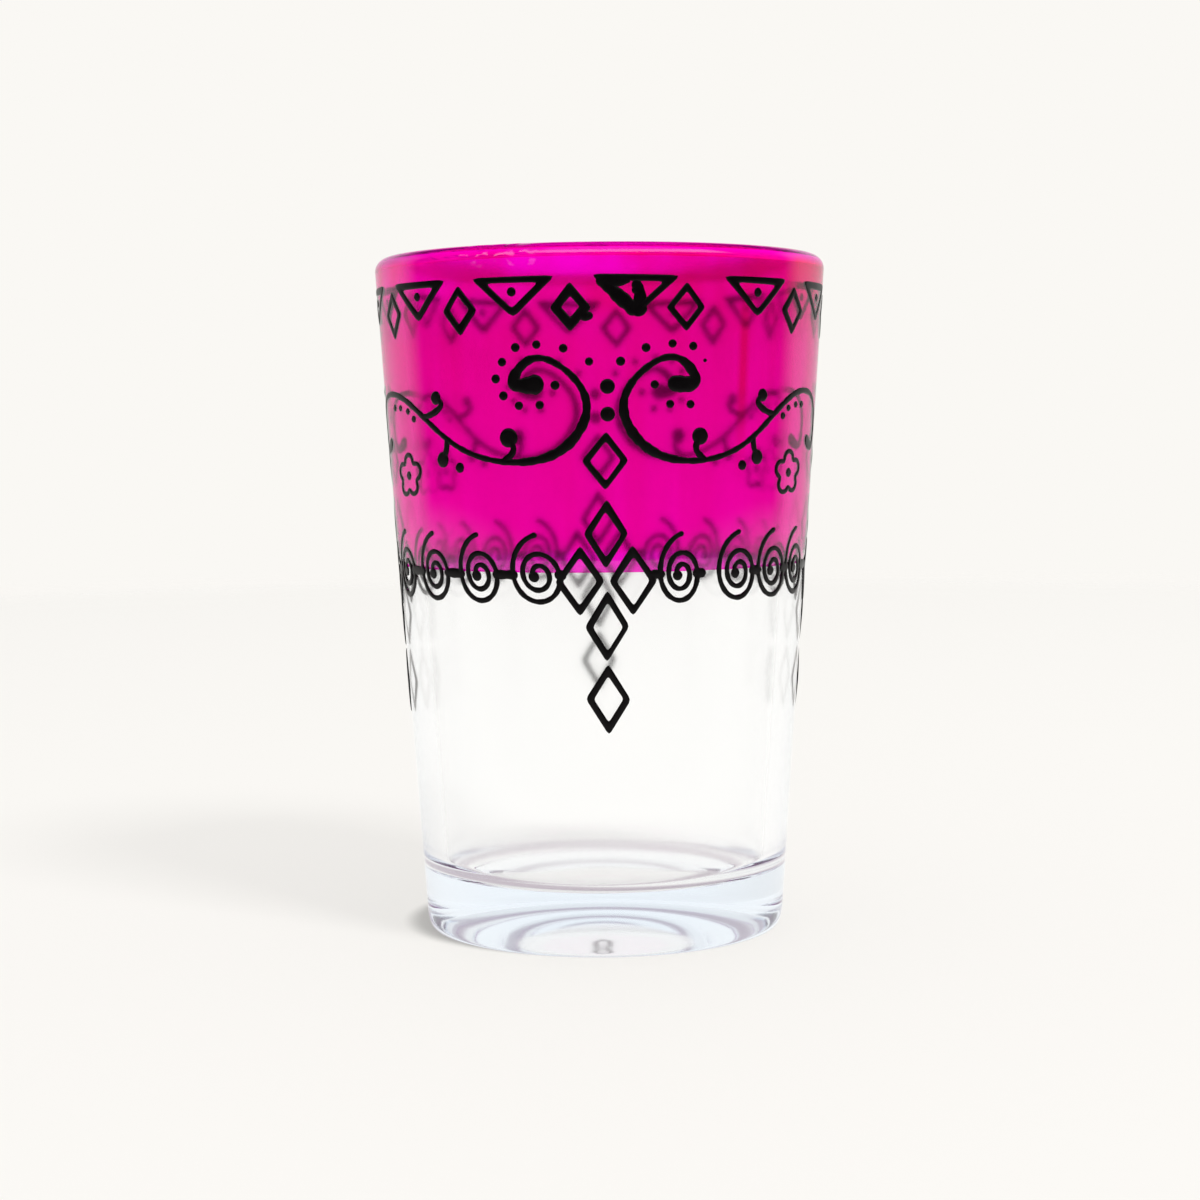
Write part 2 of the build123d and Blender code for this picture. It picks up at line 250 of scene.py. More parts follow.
def sprayed_lacquer(name):
    """Film of lacquer: streaks about 4 mm wide and 80 mm long over the whole band, patches about 8 mm wide
    within the last centimetre under the rim, one run, and a few sags in the gloss."""
    material, tree, shader = new_material(name)
    place = add_node(tree, "ShaderNodeTexCoord")
    split = add_node(tree, "ShaderNodeSeparateXYZ", links={"Vector": place.outputs["Object"]})
    links = {"Vector": place.outputs["Object"]}
    drawn_out = add_node(tree, "ShaderNodeMapping", values={"Scale": (1.0, 1.0, 0.05)}, links=links)
    links = {"Vector": drawn_out.outputs["Vector"]}
    streaks = add_node(tree, "ShaderNodeTexNoise", values={"Scale": 250.0, "Detail": 3.0}, links=links)
    # A little deeper towards the rim
    values = {"From Min": 0.05, "From Max": 0.078, "To Min": -0.2, "To Max": 0.25}
    rising = add_node(tree, "ShaderNodeMapRange", values=values, links={"Value": split.outputs["Z"]})
    links = {0: streaks.outputs["Fac"], 1: rising.outputs["Result"]}
    depth = add_node(tree, "ShaderNodeMath", {"operation": "ADD", "use_clamp": True}, links=links)
    wall = add_node(tree, "ShaderNodeMix", {"data_type": "RGBA"}, links={"Factor": depth.outputs["Value"]})
    wall.inputs[6].default_value = LACQUER_COLOUR
    wall.inputs[7].default_value = LACQUER_DEEP
    links = {"Vector": place.outputs["Object"]}
    patches = add_node(tree, "ShaderNodeTexNoise", values={"Scale": 125.0, "Detail": 2.0}, links=links)
    # From thin to deep across the 6 cm of the rim
    links = {0: split.outputs["X"], 2: patches.outputs["Fac"]}
    leaning = add_node(tree, "ShaderNodeMath", {"operation": "MULTIPLY_ADD"}, {1: 5.0}, links)
    values = {"From Min": 0.3, "From Max": 0.65}
    gathered = add_node(tree, "ShaderNodeMapRange", values=values, links={"Value": leaning.outputs["Value"]})
    rim = add_node(tree, "ShaderNodeMix", {"data_type": "RGBA"}, links={"Factor": gathered.outputs["Result"]})
    rim.inputs[6].default_value = RIM_THIN
    rim.inputs[7].default_value = RIM_DEEP
    # One run, about 1.5 mm wide: how far a place lies beside the run's plane, and that it is on its side of
    # the glass
    links = {0: place.outputs["Object"]}
    along = {1: (math.cos(RUN_AZIMUTH), math.sin(RUN_AZIMUTH), 0.0)}
    aside = add_node(tree, "ShaderNodeVectorMath", {"operation": "DOT_PRODUCT"}, along, links)
    outward = {1: (math.sin(RUN_AZIMUTH), -math.cos(RUN_AZIMUTH), 0.0)}
    facing = add_node(tree, "ShaderNodeVectorMath", {"operation": "DOT_PRODUCT"}, outward, links)
    values = {"From Max": 0.02}
    near_side = add_node(tree, "ShaderNodeMapRange", values=values, links={"Value": facing.outputs["Value"]})
    distance = add_node(tree, "ShaderNodeMath", {"operation": "ABSOLUTE"}, links={0: aside.outputs["Value"]})
    values = {"From Min": 0.0003, "From Max": 0.0012, "To Min": 1.0, "To Max": 0.0}
    ridge = add_node(tree, "ShaderNodeMapRange", values=values, links={"Value": distance.outputs["Value"]})
    values = {"From Min": 0.06, "From Max": 0.072}
    length = add_node(tree, "ShaderNodeMapRange", values=values, links={"Value": split.outputs["Z"]})
    links = {0: ridge.outputs["Result"], 1: length.outputs["Result"]}
    fading = add_node(tree, "ShaderNodeMath", {"operation": "MULTIPLY"}, links=links)
    links = {0: fading.outputs["Value"], 1: near_side.outputs["Result"]}
    run_share = add_node(tree, "ShaderNodeMath", {"operation": "MULTIPLY"}, links=links)
    links = {"Factor": run_share.outputs["Value"]}
    streaked = add_node(tree, "ShaderNodeMix", {"data_type": "RGBA"}, links=links)
    tree.links.new(wall.outputs[2], streaked.inputs[6])
    streaked.inputs[7].default_value = RUN_DEEP
    values = {"From Min": 0.078, "From Max": 0.088}
    near_rim = add_node(tree, "ShaderNodeMapRange", values=values, links={"Value": split.outputs["Z"]})
    links = {"Factor": near_rim.outputs["Result"]}
    film = add_node(tree, "ShaderNodeMix", {"data_type": "RGBA"}, links=links)
    tree.links.new(streaked.outputs[2], film.inputs[6])
    tree.links.new(rim.outputs[2], film.inputs[7])
    # Painted highlight: a lighter pink on the crest of the rim, in the band of levels where the highlight
    # line falls
    values = {"From Min": 0.0882, "From Max": 0.0892}
    highlight_band = add_node(tree, "ShaderNodeMapRange", values=values, links={"Value": split.outputs["Z"]})
    whole = add_node(tree, "ShaderNodeMix", {"data_type": "RGBA"}, links={"Factor": highlight_band.outputs["Result"]})
    tree.links.new(film.outputs[2], whole.inputs[6])
    whole.inputs[7].default_value = PAINTED_HIGHLIGHT_PINK
    tree.links.new(whole.outputs[2], shader.inputs["Base Color"])
    shader.inputs["Transmission Weight"].default_value = 1.0
    shader.inputs["Roughness"].default_value = 0.0
    shader.inputs["IOR"].default_value = 1.0
    shader.inputs["Coat Weight"].default_value = 1.0
    shader.inputs["Coat IOR"].default_value = 1.5
    shader.inputs["Coat Roughness"].default_value = 0.02
    # Sags about 2.5 mm wide in the gloss, within 6 mm of one place at the left of the rim
    links = {"Vector": place.outputs["Object"]}
    sags = add_node(tree, "ShaderNodeTexNoise", values={"Scale": 400.0, "Detail": 1.0}, links=links)
    links = {0: place.outputs["Object"]}
    apart = add_node(tree, "ShaderNodeVectorMath", {"operation": "DISTANCE"}, {1: SAGS_MIDDLE}, links)
    values = {"From Min": 0.0045, "From Max": 0.0065, "To Min": 1.0, "To Max": 0.0}
    sagging = add_node(tree, "ShaderNodeMapRange", values=values, links={"Value": apart.outputs["Value"]})
    values = {"From Min": 0.0867, "From Max": 0.0874}
    under_rim = add_node(tree, "ShaderNodeMapRange", values=values, links={"Value": split.outputs["Z"]})
    links = {0: sagging.outputs["Result"], 1: under_rim.outputs["Result"]}
    uneven = add_node(tree, "ShaderNodeMath", {"operation": "MULTIPLY"}, links=links)
    links = {"Strength": uneven.outputs["Value"], "Height": sags.outputs["Fac"]}
    bump = add_node(tree, "ShaderNodeBump", values={"Distance": 0.001}, links=links)
    tree.links.new(bump.outputs["Normal"], shader.inputs["Coat Normal"])
    return material, shader


lacquer_face, shader = sprayed_lacquer("sprayed_lacquer_face")

# Painted highlight: on those rows of the rim's crest the film scatters half the light, so that it shows as a
# bright pink line.
lacquer_highlight, shader = sprayed_lacquer("sprayed_lacquer_painted_highlight")
shader.inputs["Transmission Weight"].default_value = 0.5

# The back of the film only tints, with the same streaks.
lacquer_back, tree, shader = new_material("sprayed_lacquer_back")
place = add_node(tree, "ShaderNodeTexCoord")
links = {"Vector": place.outputs["Object"]}
drawn_out = add_node(tree, "ShaderNodeMapping", values={"Scale": (1.0, 1.0, 0.05)}, links=links)
links = {"Vector": drawn_out.outputs["Vector"]}
streaks = add_node(tree, "ShaderNodeTexNoise", values={"Scale": 250.0, "Detail": 3.0}, links=links)
bedded = add_node(tree, "ShaderNodeMix", {"data_type": "RGBA"}, links={"Factor": streaks.outputs["Fac"]})
bedded.inputs[6].default_value = BEDDED_COLOUR
bedded.inputs[7].default_value = BEDDED_DEEP
tree.links.new(bedded.outputs[2], shader.inputs["Base Color"])
shader.inputs["Transmission Weight"].default_value = 1.0
shader.inputs["Roughness"].default_value = 0.0
shader.inputs["IOR"].default_value = 1.0

points, faces = turned(np.vstack([face_side, back_side]), closed=True)
films = (lacquer_face, lacquer_back, lacquer_highlight)
band = make_piece("lacquer_band", points, faces, "magenta_lacquer", *films)
slots = np.zeros((len(face_side) + len(back_side), SEGMENTS), np.int32)
slots[len(face_side) : -1] = 1
highlight_start = len(face_side) - len(rim_out)
# The crest rows take the scattering film, a painted highlight line
slots[highlight_start : highlight_start + HIGHLIGHT_ROWS] = 2
band.data.polygons.foreach_set("material_index", slots.ravel())
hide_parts("magenta_lacquer_band")

# Border of triangles and diamonds
# Black glass enamel, squeezed from a fine nozzle and fired: a raised, rounded bead that stands on the
# lacquer. Twelve triangles hang under the rim with a dot in each and a diamond between each two.
BEAD = 0.07
STEEPEST = 0.42
SINK = LACQUER + 0.02
STRAY = 0.12
INNER_STRAY = 0.6
BORDER_COUNT = 12
BORDER_TURNS = np.arange(BORDER_COUNT) * 360 / BORDER_COUNT
BORDER_OFFSET = 7.5
TRIANGLE_TOP = 85.9
TRIANGLE_WIDTH = 11.4
TRIANGLE_DEPTH = 5.1
TRIANGLE_DOT = 1.1
TRIANGLE_DOT_LEVEL = 84.0
TRIANGLE_TURNS = BORDER_TURNS + BORDER_OFFSET + np.array([0, 3.2, 3.7, 1.5, 0, -1.5, 1, 0, -1, 0.5, 0.3, 0])
DIAMOND_LEVEL = 82.0
DIAMOND_WIDTH = 5.4
DIAMOND_HEIGHT = 6.3
DIAMOND_TURNS = BORDER_TURNS - BORDER_OFFSET + np.array([-0.6, -2.5, 3, 2, 0.5, -1, 1.5, 0, -0.5, 1, 2, 0])
LINE = 0.85
SMUDGED_LINE = 1.2
# Points of each stroke as distance beside the axis and level, and its widths
TRIANGLE_SMUDGES = (
    (((-4.3, 85.1), (-2.3, 83.4), (-0.4, 81.8)), (1.2, 1.7, 1.9)),
    (((0.1, 84.6), (0.5, 83.4), (0.3, 81.9)), (1.2, 1.6, 2.1)),
    (((-3.9, 85.2), (-2.4, 85.0), (-1.1, 85.2)), (1.2, 1.5, 0.9)),
)
DIAMOND_SMUDGES = ((((1.5, 81.2), (1.9, 80.9), (2.3, 80.9)), (1.2, 1.3, 1.0)),)
hand = np.random.default_rng(7)

# Fired black enamel: near-black glass with a satin sheen, slightly uneven where the nozzle dragged.
ENAMEL_DARK = linear("#020102")
ENAMEL_LIGHT = linear("#070506")
enamel, tree, shader = new_material("fired_black_enamel")
place = add_node(tree, "ShaderNodeTexCoord")
# Drag marks about 1.4 mm long, 700 to the metre
links = {"Vector": place.outputs["Object"]}
drag = add_node(tree, "ShaderNodeTexNoise", values={"Scale": 700.0, "Detail": 2.0}, links=links)
values = {"To Min": 0.25, "To Max": 0.4}
gloss = add_node(tree, "ShaderNodeMapRange", values=values, links={"Value": drag.outputs["Fac"]})
tint = add_node(tree, "ShaderNodeMix", {"data_type": "RGBA"}, links={"Factor": drag.outputs["Fac"]})
tint.inputs[6].default_value = ENAMEL_DARK
tint.inputs[7].default_value = ENAMEL_LIGHT
values = {"Strength": 0.25, "Distance": 0.00006}
bump = add_node(tree, "ShaderNodeBump", values=values, links={"Height": drag.outputs["Fac"]})
tree.links.new(tint.outputs[2], shader.inputs["Base Color"])
tree.links.new(gloss.outputs["Result"], shader.inputs["Roughness"])
tree.links.new(bump.outputs["Normal"], shader.inputs["Normal"])
shader.inputs["IOR"].default_value = 1.5
shader.inputs["Specular IOR Level"].default_value = 0.12


def bead(edge_a, edge_b, turn=0.0, closed=False):
    """Closed bead between two edges drawn on the unrolled wall, as (distance along the wall, level). Across
    it the top follows half an ellipse, highest in the middle; its flat underside is sunk into the wall.
    Distance along the wall divided by the wall's radius is the azimuth, on top of the piece's own turn in
    degrees."""
    width = np.linalg.norm(edge_b - edge_a, axis=1)[:, None]
    share = np.linspace(0, 1, 9)
    top = edge_a[:, None] * (1 - share[:, None]) + edge_b[:, None] * share[:, None]
    rise = np.minimum(BEAD, STEEPEST * width) * np.sqrt(1 - (2 * share - 1) ** 2)
    drawn = np.concatenate([top, edge_b[:, None], edge_a[:, None]], 1)
    proud = np.concatenate([rise, np.full((len(edge_a), 2), -SINK)], 1)
    radius = wall_radius(drawn[..., 1], LACQUER)
    azimuth = math.radians(turn) + drawn[..., 0] / radius
    reach = radius + proud
    points = np.stack([reach * np.sin(azimuth), -reach * np.cos(azimuth), drawn[..., 1]], -1)
    count, ring = drawn.shape[:2]
    rows = np.arange(count if closed else count - 1)[:, None] * ring
    near = np.arange(ring)[None, :]
    far = (near + 1) % ring
    above = (rows + ring) % (count * ring)
    faces = np.stack([rows + near, rows + far, above + far, above + near], -1).reshape(-1, 4).tolist()
    if not closed:
        faces += [near[0].tolist(), (near[0] + (count - 1) * ring).tolist()]
    return points.reshape(-1, 3), faces


def loop(corners, per_side=10):
    """Closed outline through corners, each side divided evenly, its corners softened by a running mean."""
    corners = np.asarray(corners, float)
    share = np.linspace(0, 1, per_side, endpoint=False)[None, :, None]
    sides = corners[:, None] * (1 - share) + np.roll(corners, -1, 0)[:, None] * share
    line = sides.reshape(-1, 2)
    return (np.roll(line, 1, 0) + 2 * line + np.roll(line, -1, 0)) / 4


def outlined(corners, middle, inner, turn):
    """Bead along a polygon's outline, out to its corners and in to the same corners drawn towards its middle
    by the share inner; each corner strays a little, as the hand does."""
    corners = np.asarray(corners, float)
    middle = np.asarray(middle, float)
    outside = corners + hand.uniform(-STRAY, STRAY, corners.shape)
    inside = middle + (corners - middle) * inner + hand.uniform(-STRAY, STRAY, corners.shape) * INNER_STRAY
    return bead(loop(outside), loop(inside), turn, closed=True)


def rhombus(across, level, width, height, line, turn):
    """Drawn diamond: its corners stand half its width and height from its middle, and its line is as wide as
    given."""
    top, bottom = level + height / 2, level - height / 2
    corners = ((across, top), (across + width / 2, level), (across, bottom), (across - width / 2, level))
    inner = 1 - line * math.hypot(width, height) / (width * height) * 2
    return outlined(corners, (across, level), inner, turn)


def dot(across, level, diameter, turn):
    """Round drop of enamel, up to 6 per cent larger or smaller than asked: its two edges are the sides of a
    circle, met at its two ends."""
    angle = np.linspace(0.02, np.pi - 0.02, 15)
    size = diameter / 2 * hand.uniform(0.94, 1.06)
    along = across - size * np.cos(angle)
    half = size * np.sin(angle)
    return bead(np.stack([along, level + half], -1), np.stack([along, level - half], -1), turn)


def stroke(path, widths):
    """Edges of a stroke: its path shifted to both sides by half its width, which runs through the widths
    given along it and wavers a little with the distance, and closes in a half circle at each end."""
    length = np.r_[0, np.cumsum(np.linalg.norm(np.diff(path, axis=0), axis=1))]
    width = np.interp(length / length[-1], np.linspace(0, 1, len(widths)), widths)
    phase = hand.uniform(0, 2 * np.pi, 2)
    # Wavers of 7 and 5 per cent, one about 3 mm long and one about 1.3 mm
    slow = 0.07 * np.sin(2 * np.pi * length / 3.1 + phase[0])
    quick = 0.05 * np.sin(2 * np.pi * length / 1.3 + phase[1])
    width = width * (1 + slow + quick)
    along = np.gradient(path, axis=0)
    along /= np.linalg.norm(along, axis=1)[:, None]
    turn = np.linspace(0.08, np.pi / 2, 6)[:-1, None]
    start = path[0] - along[0] * width[0] / 2 * np.cos(turn)
    end = path[-1] + along[-1] * width[-1] / 2 * np.cos(turn[::-1])
    line = np.vstack([start, path, end])
    along = np.vstack([np.repeat(along[:1], len(turn), 0), along, np.repeat(along[-1:], len(turn), 0)])
    half = np.r_[width[0] * np.sin(turn[:, 0]), width, width[-1] * np.sin(turn[::-1, 0])] / 2
    side = np.stack([-along[:, 1], along[:, 0]], -1) * half[:, None]
    return line + side, line - side


def smooth_path(points, count):
    """Natural cubic spline through points by their chord length: second slopes from the usual band of
    equations, read at evenly spaced stations."""
    points = np.asarray(points, float)
    chord = np.r_[0, np.cumsum(np.linalg.norm(np.diff(points, axis=0), axis=1))]
    gap = np.diff(chord)
    slope = np.diff(points, axis=0) / gap[:, None]
    inner = np.arange(1, len(points) - 1)
    band_matrix = np.eye(len(points))
    band_matrix[inner, inner - 1] = gap[:-1]
    band_matrix[inner, inner] = 2 * (gap[:-1] + gap[1:])
    band_matrix[inner, inner + 1] = gap[1:]
    known = np.zeros_like(points)
    known[1:-1] = 6 * np.diff(slope, axis=0)
    bend = np.linalg.solve(band_matrix, known)
    at = np.linspace(0, chord[-1], count)
    low = np.clip(np.searchsorted(chord, at, side="right") - 1, 0, len(gap) - 1)
    before = (at - chord[low])[:, None]
    after = (chord[low + 1] - at)[:, None]
    span = gap[low][:, None]
    cubic = (bend[low] * after**3 + bend[low + 1] * before**3) / 6 / span
    from_low = (points[low] / span - bend[low] * span / 6) * after
    from_high = (points[low + 1] / span - bend[low + 1] * span / 6) * before
    return cubic + (from_low + from_high)


def enamel_piece(name, beads, *nodes):
    """One piece out of several beads, in place of its CAD nodes."""
    starts = np.cumsum([0] + [len(points) for points, sides in beads])
    faces = [
        [index + start for index in face]
        for start, (points, sides) in zip(starts, beads)
        for face in sides
    ]
    piece = make_piece(name, np.vstack([points for points, sides in beads]), faces, "black_enamel", enamel)
    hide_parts(*nodes)
    return piece


half = TRIANGLE_WIDTH / 2
leg = math.hypot(half, TRIANGLE_DEPTH)
incircle = TRIANGLE_WIDTH * TRIANGLE_DEPTH / (TRIANGLE_WIDTH + 2 * leg)
triangle = ((-half, TRIANGLE_TOP), (half, TRIANGLE_TOP), (0, TRIANGLE_TOP - TRIANGLE_DEPTH))
triangle_middle = (0, TRIANGLE_TOP - incircle)
triangle_inner = 1 - LINE / incircle
triangles = [outlined(triangle, triangle_middle, triangle_inner, turn) for turn in TRIANGLE_TURNS]
triangle_dots = [dot(0, TRIANGLE_DOT_LEVEL, TRIANGLE_DOT, turn) for turn in TRIANGLE_TURNS]
diamond_lines = np.where(np.arange(BORDER_COUNT) == 0, SMUDGED_LINE, LINE)
diamonds = [
    rhombus(0, DIAMOND_LEVEL, DIAMOND_WIDTH, DIAMOND_HEIGHT, line, turn)
    for line, turn in zip(diamond_lines, DIAMOND_TURNS)
]
# One triangle and the diamond beside it were smudged while they were wet
borders = ((triangles, TRIANGLE_TURNS, TRIANGLE_SMUDGES), (diamonds, DIAMOND_TURNS, DIAMOND_SMUDGES))
for smudged, turns, smudges in borders:
    smudged += [bead(*stroke(smooth_path(path, 24), widths), turns[0]) for path, widths in smudges]
enamel_piece("border_triangle_lines", triangles, "border_triangles")
enamel_piece("border_dots", triangle_dots, "border_triangle_dots")
enamel_piece("border_diamond_lines", diamonds, "border_diamonds")

# Pendants
# Strings of six diamonds in the same enamel, one on each side of the glass, half on the lacquer and half on
# the clear wall, with two larger drops above each.
PENDANT_LINE = 0.82
# Distance beside the axis, level, width and height
PENDANT_DIAMONDS = (
    (0.0, 63.15, 5.9, 7.4),
    (0.0, 54.05, 5.7, 8.7),
    (-3.35, 48.2, 6.2, 9.0),
    (3.35, 48.2, 6.2, 9.0),
    (0.1, 42.5, 5.7, 9.2),
    (0.15, 33.35, 5.6, 9.0),
)
PENDANT_DOT = 1.8
PENDANT_DOT_ASIDE = 0.3
PENDANT_DOT_LEVELS = (72.3, 68.9)
for quarter, side in enumerate(("front", "right", "back", "left")):
    turn = quarter * 90
    string = [rhombus(*sizes, PENDANT_LINE, turn) for sizes in PENDANT_DIAMONDS]
    enamel_piece(f"{side}_pendant_lines", string, f"{side}_pendant_diamonds")
    drops = [dot(PENDANT_DOT_ASIDE, level, PENDANT_DOT, turn) for level in PENDANT_DOT_LEVELS]
    enamel_piece(f"{side}_pendant_drops", drops, f"{side}_pendant_dots")

# Spiral chains
# Four spirals between each two pendants, trailed in one go along the edge of the lacquer: each winds
# clockwise and outwards, ends in a tail over its top, and is joined to the next by a short bar.
CHAIN_LEVEL = 49.0
SPIRAL_LINE = 0.66
SPIRAL_HEAD = 1.35
SPIRAL_START = 0.6
SPIRAL_PITCH = 1.25
SPIRAL_TURNS = 2.05
SPIRAL_HEIGHT = 1.18
TAIL_TURN = 0.25
TAIL_FLARE = 0.75
BAR_WIDTH = 1.2
SHORTEST_BAR = 0.2
STUB = 0.6
CHAIN_END = 6.1
QUADRANTS = ("front_right", "back_right", "back_left", "front_left")
SPIRAL_PLACES = {
    "front_right": (9.6, 18.2, 25.0, 31.6),
    "back_right": (9.95, 17.75, 25.55, 33.35),
    "back_left": (9.95, 17.75, 25.55, 33.35),
    "front_left": (9.9, 18.1, 26.3, 34.6),
}
SPIRAL_SPREADS = {"front_right": (0.88, 1.0, 1.0, 1.0), "front_left": (1.0, 1.0, 1.0, 1.08)}


def spiral(across, spread):
    """Line of a spiral: its radius grows evenly with the turn, and faster along the tail; it is drawn a
    little taller than wide."""
    turns = np.linspace(0, SPIRAL_TURNS + TAIL_TURN, 110)
    flare = np.maximum(0, (turns - SPIRAL_TURNS) / TAIL_TURN)
    radius = SPIRAL_START + SPIRAL_PITCH * turns + TAIL_FLARE * flare**2
    angle = np.pi - 2 * np.pi * (turns - SPIRAL_TURNS)
    beside = spread * radius * np.cos(angle)
    above = SPIRAL_HEIGHT * radius * np.sin(angle)
    return np.stack([across + beside, CHAIN_LEVEL + above], -1)


spiral_left = SPIRAL_START + SPIRAL_PITCH * SPIRAL_TURNS
spiral_right = spiral_left - SPIRAL_PITCH / 2
chain_length = wall_radius(CHAIN_LEVEL, LACQUER) * math.pi / 2
for quarter, quadrant in enumerate(QUADRANTS):
    turn = quarter * 90
    places = SPIRAL_PLACES[quadrant]
    spreads = SPIRAL_SPREADS.get(quadrant, (1.0, 1.0, 1.0, 1.0))
    pairs = list(zip(places, spreads))
    lines = [spiral(*pair) for pair in pairs]
    beads = [bead(*stroke(line, (SPIRAL_LINE, SPIRAL_LINE)), turn) for line in lines]
    beads += [dot(*line[0], SPIRAL_HEAD, turn) for line in lines]
    starts = (CHAIN_END, *(across + spread * spiral_right for across, spread in pairs))
    ends = (*(across - spread * spiral_left for across, spread in pairs), chain_length - CHAIN_END)
    if quadrant == "front_right":
        ends = (ends[0], starts[1] + STUB, *ends[2:])
    for low, high in zip(starts, ends):
        bar = np.stack([np.linspace(low, max(high, low + SHORTEST_BAR), 8), np.full(8, CHAIN_LEVEL)], -1)
        beads.append(bead(*stroke(bar, (BAR_WIDTH, BAR_WIDTH)), turn))
    enamel_piece(f"{quadrant}_spirals", beads, f"{quadrant}_spiral_chain")

# Vines
# One long stroke of the enamel in each quadrant, from a scroll beside a front or back pendant, under it and
# up over an arch to a small scroll beside a side pendant, with two leaves and a bud. Points: azimuth from the
# pendant in degrees, level.
VINE_PATH = (
    (17.5, 72.6),
    (22.7, 72.9),
    (19.4, 75.4),
    (10.8, 74.8),
    (4.5, 69.9),
    (10.0, 64.9),
    (22.6, 63.05),
    (39.1, 65.0),
    (52.6, 69.3),
    (68.3, 71.9),
    (81.5, 68.7),
    (79.9, 64.8),
    (73.5, 65.4),
)
VINE_WIDTHS = (
    *(2.3, 1.4, 0.85, 0.8, 0.95, 1.2, 1.3, 1.1, 0.8, 0.72),
    *(0.7, 0.72, 0.75, 0.8, 0.8, 0.75, 0.7, 0.7, 0.9, 1.7),
)
LEAF_LINE = 0.85
LEAVES = (
    (((26.0, 63.2), (23.5, 64.6), (24.6, 66.1)), 2.3),
    (((50.9, 68.8), (46.5, 69.4), (44.0, 70.4), (45.7, 71.2)), 1.7),
    (((42.7, 65.6), (43.2, 64.5), (44.5, 63.4)), 1.9),
)
STRETCH_FROM = 22.6
# Turn of the pendant, side of it, and stretch
VINES = {
    "front_right": (0, 1, -0.07),
    "back_right": (178, -1, 0.0),
    "back_left": (182, 1, -0.06),
    "front_left": (0, -1, 0.07),
}


def unrolled(places, side, stretch):
    """Distance along the wall and level of places given as azimuth and level; past the scroll the azimuth is
    stretched as the hand did."""
    places = np.asarray(places, float)
    azimuth = places[:, 0] + stretch * np.maximum(0, places[:, 0] - STRETCH_FROM)
    radius = wall_radius(places[:, 1], LACQUER)
    return np.stack([side * np.radians(azimuth) * radius, places[:, 1]], -1)


for quadrant, (turn, side, stretch) in VINES.items():
    beads = [bead(*stroke(smooth_path(unrolled(VINE_PATH, side, stretch), 320), VINE_WIDTHS), turn)]
    for path, head in LEAVES:
        line = smooth_path(unrolled(path, side, stretch), 28)
        beads += [bead(*stroke(line, (LEAF_LINE, LEAF_LINE)), turn), dot(*line[-1], head, turn)]
    enamel_piece(f"{quadrant}_vine_line", beads, f"{quadrant}_vine")

# Vine dots
# Small round drops of the enamel, set one by one round each scroll, inside the arch, and one below the stem.
SCROLL_DOT = 1.1
SCROLL_DOT_PLACES = (
    (3.8, 75.35),
    (10.0, 77.0),
    (16.6, 77.5),
    (22.0, 77.2),
    (25.5, 75.45),
    (27.3, 73.4),
    (25.5, 71.3),
    (21.6, 70.05),
    (16.2, 70.1),
    (12.2, 72.5),
)
ARCH_DOT = 0.9
ARCH_DOT_PLACES = ((55.5, 68.6), (58.3, 69.6), (62.6, 70.05), (66.6, 70.1))
STEM_DOT = 1.3
STEM_DOT_PLACE = (38.9, 62.4)
# Diameters of the fifth to seventh dot of a scroll, where they are faint or left out
FAINT_DOTS = {"front_right": (0.5, 0, 0)}
FAINT_PLACES = slice(4, 7)
for quadrant, (turn, side, stretch) in VINES.items():
    places = unrolled((*SCROLL_DOT_PLACES, *ARCH_DOT_PLACES, STEM_DOT_PLACE), side, stretch)
    counts = (len(SCROLL_DOT_PLACES), len(ARCH_DOT_PLACES), 1)
    sizes = np.repeat((SCROLL_DOT, ARCH_DOT, STEM_DOT), counts)
    sizes[FAINT_PLACES] = FAINT_DOTS.get(quadrant, sizes[FAINT_PLACES])
    beads = [dot(*place, size, turn) for place, size in zip(places, sizes) if size > 0]
    enamel_piece(f"{quadrant}_vine_drops", beads, f"{quadrant}_vine_dots")

# Flowers
# One scalloped line of the enamel round five petals, drawn without lifting the nozzle, and a drop in the open
# heart, under the arch of each vine.
FLOWER_PLACE = (60.4, 61.3)
FLOWER_SPREAD = 1.15
PETAL_RADIUS = 1.3
PETAL_CENTRE = 1.8
FLOWER_LINE = 0.62
FLOWER_DOT = 1.2


def scallops(across, level, turn):
    """Closed line round five petals: its outer edge is the far side of a circle about the nearest petal's
    middle, seen from the flower's middle, pulled 4 per cent out of round and spread a little sideways, and
    its inner edge a line's width inside that."""
    angle = np.linspace(0, 2 * np.pi, 160, endpoint=False)
    off_axis = (angle - np.pi / 2 + np.pi / 5) % (2 * np.pi / 5) - np.pi / 5
    aside = PETAL_CENTRE * np.sin(off_axis)
    reach = PETAL_CENTRE * np.cos(off_axis) + np.sqrt(PETAL_RADIUS**2 - aside**2)
    reach = reach * (1 + 0.04 * np.sin(2 * angle + hand.uniform(0, 2 * np.pi)))
    outer = np.stack([across + FLOWER_SPREAD * reach * np.cos(angle), level + reach * np.sin(angle)], -1)
    outer = (np.roll(outer, 1, 0) + 2 * outer + np.roll(outer, -1, 0)) / 4
    along = np.roll(outer, -1, 0) - np.roll(outer, 1, 0)
    along /= np.linalg.norm(along, axis=1)[:, None]
    inward = np.stack([-along[:, 1], along[:, 0]], -1)
    return bead(outer, outer + FLOWER_LINE * inward, turn, closed=True)


for quadrant, (turn, side, stretch) in VINES.items():
    across, level = unrolled([FLOWER_PLACE], side, stretch)[0]
    beads = [scallops(across, level, turn), dot(across, level, FLOWER_DOT, turn)]
    enamel_piece(f"{quadrant}_flower_line", beads, f"{quadrant}_flower")

